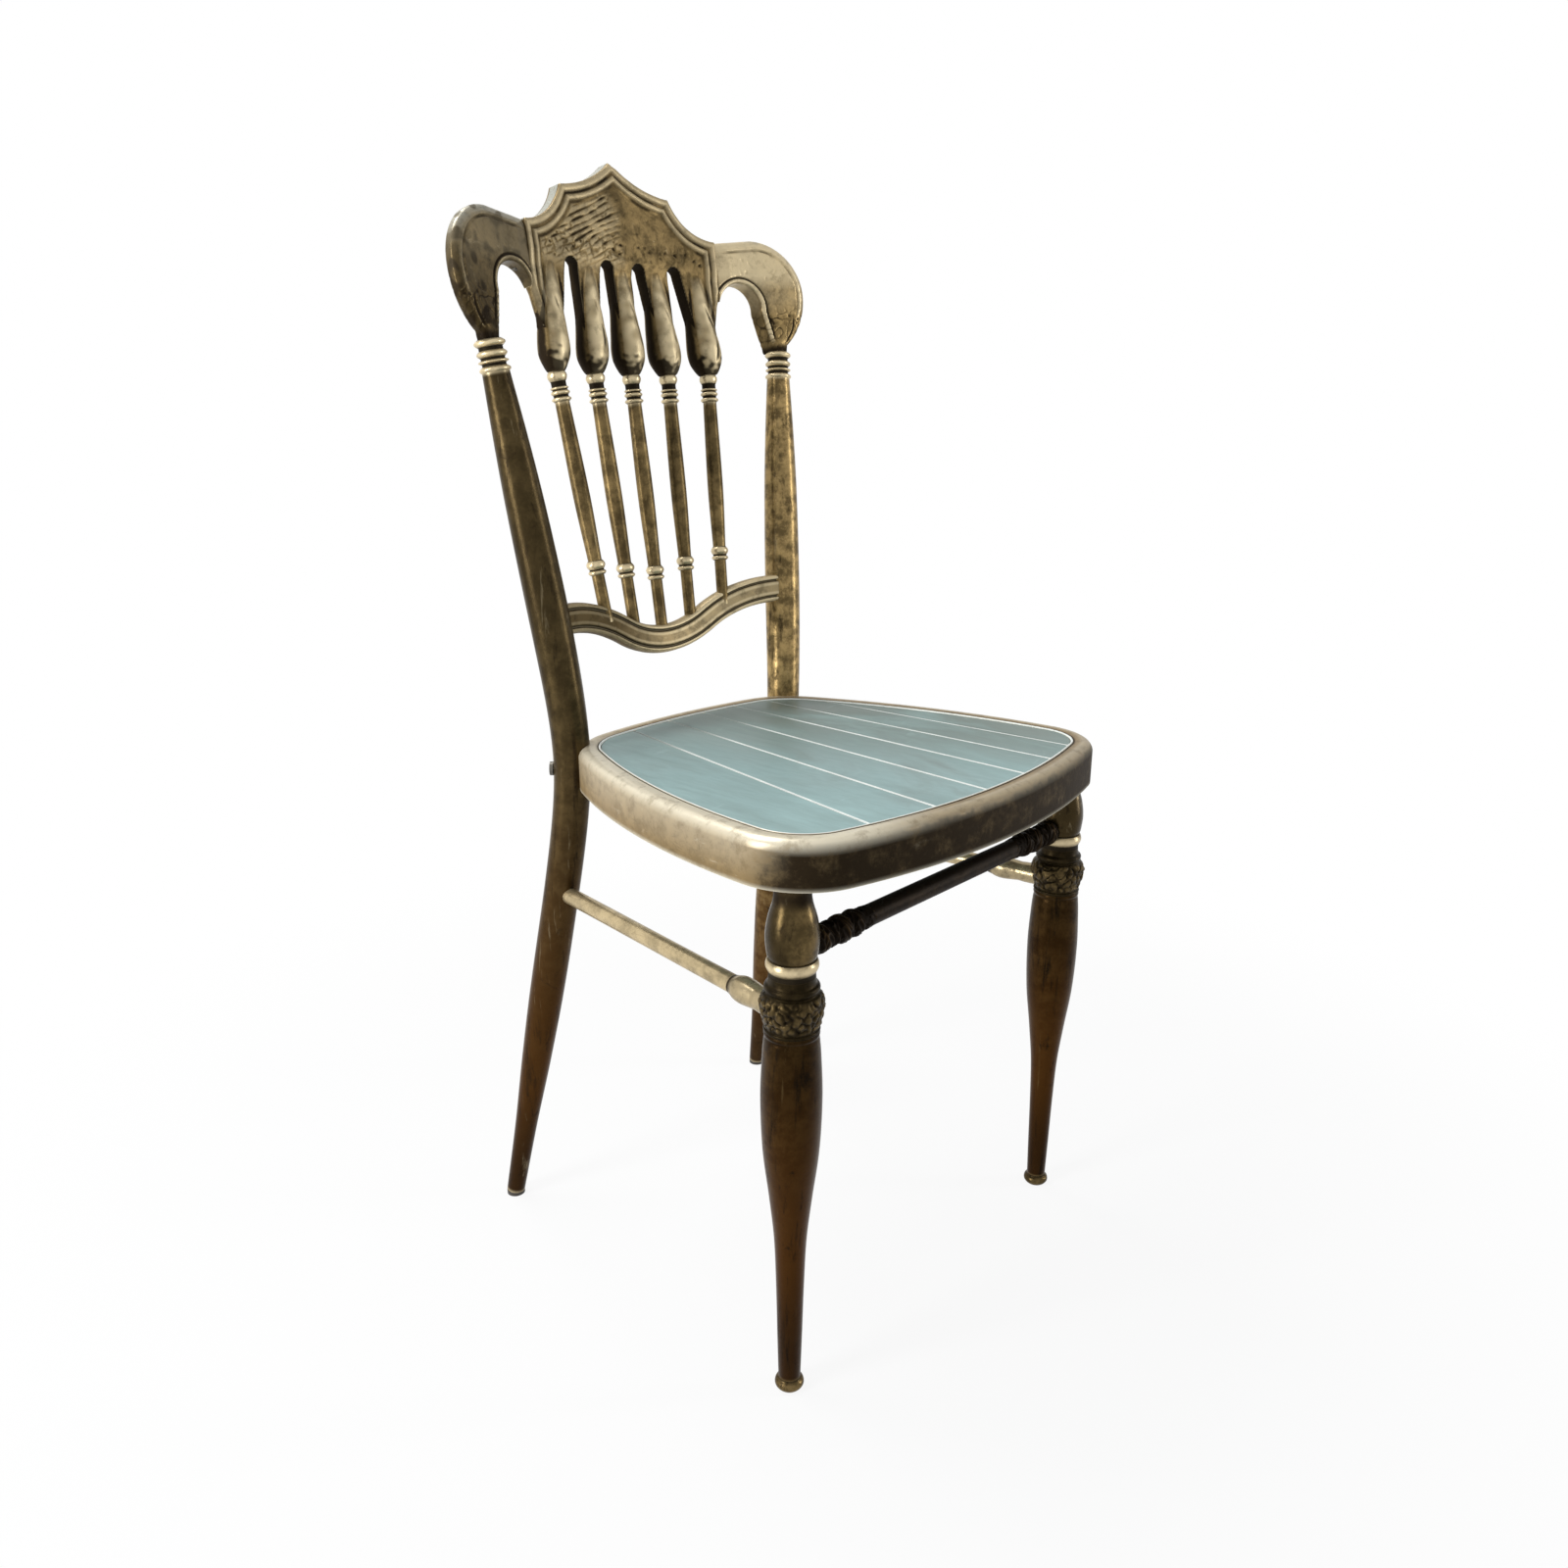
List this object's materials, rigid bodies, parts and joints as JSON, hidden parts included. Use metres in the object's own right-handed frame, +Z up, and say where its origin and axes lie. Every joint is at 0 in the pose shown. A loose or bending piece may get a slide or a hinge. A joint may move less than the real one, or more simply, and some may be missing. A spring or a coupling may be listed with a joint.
{
  "type": "metal bistro chair",
  "caption": "Armless side chair with turned metal legs, a slatted seat in a moulded rim, bent round back posts, slim spindles, a curved mid rail and a scalloped cast crest; it holds one person.",
  "frame": {"origin": "on the floor, at the middle of the chair's bounding box", "axes": "+Z up; -Y is the front, where the sitter faces; +X is the sitter's left"},
  "size_m": [0.4152, 0.4516, 0.9351],
  "materials": {
    "seat_rim_paint": "cast rim painted antique gold over dark brown, worn bright along its edges",
    "slat_paint": "pale blue-grey satin paint",
    "inner_bar_paint": "dark bronze paint, satin",
    "zinc_fastener": "zinc plated",
    "steel_pin": "plain drawn steel",
    "cast_bronze_paint": "cast, antique gold paint with black in the hollows",
    "tube_bronze_paint": "antique gold over brown, brushed streaks",
    "dark_bronze_paint": "dark bronze paint, semi-gloss",
    "bead_gilt": "bright worn gilt",
    "glide_plastic": "moulded, matte"
  },
  "bodies": {
    "root": {"arch_studs": "steel_pin", "back_post_left": "tube_bronze_paint", "back_post_right": "tube_bronze_paint", "back_rail": "cast_bronze_paint", "back_spindle_1": "tube_bronze_paint", "back_spindle_2": "tube_bronze_paint", "back_spindle_3": "tube_bronze_paint", "back_spindle_4": "tube_bronze_paint", "back_spindle_5": "tube_bronze_paint", "bracket_screws": "zinc_fastener", "crest_arch_left": "cast_bronze_paint", "crest_arch_right": "cast_bronze_paint", "crest_dowels": "steel_pin", "crest_panel": "cast_bronze_paint", "front_stretcher": "dark_bronze_paint", "leg_bracket_left": "inner_bar_paint", "leg_bracket_right": "inner_bar_paint", "leg_crown_left": "cast_bronze_paint", "leg_crown_right": "cast_bronze_paint", "leg_foot_left": "bead_gilt", "leg_foot_right": "bead_gilt", "leg_knot_left": "cast_bronze_paint", "leg_knot_right": "cast_bronze_paint", "leg_ring_left": "bead_gilt", "leg_ring_right": "bead_gilt", "leg_rods": "steel_pin", "leg_shaft_left": "tube_bronze_paint", "leg_shaft_right": "tube_bronze_paint", "post_collar_left": "cast_bronze_paint", "post_collar_right": "cast_bronze_paint", "post_glide_left": "glide_plastic", "post_glide_right": "glide_plastic", "post_saddle_left": "inner_bar_paint", "post_saddle_right": "inner_bar_paint", "rail_pins": "steel_pin", "seat_bar_front": "inner_bar_paint", "seat_bar_rear": "inner_bar_paint", "seat_bolts": "zinc_fastener", "seat_frame": "seat_rim_paint", "seat_nuts": "zinc_fastener", "seat_slat_1": "slat_paint", "seat_slat_2": "slat_paint", "seat_slat_3": "slat_paint", "seat_slat_4": "slat_paint", "seat_slat_5": "slat_paint", "seat_slat_6": "slat_paint", "seat_slat_7": "slat_paint", "side_ferrule_left": "cast_bronze_paint", "side_ferrule_right": "cast_bronze_paint", "side_stretcher_left": "tube_bronze_paint", "side_stretcher_right": "tube_bronze_paint", "slat_screws": "zinc_fastener", "spindle_beads": "bead_gilt", "spindle_cap_1": "cast_bronze_paint", "spindle_cap_2": "cast_bronze_paint", "spindle_cap_3": "cast_bronze_paint", "spindle_cap_4": "cast_bronze_paint", "spindle_cap_5": "cast_bronze_paint", "stretcher_knuckle_left": "dark_bronze_paint", "stretcher_knuckle_right": "dark_bronze_paint"}
  },
  "joints": []
}
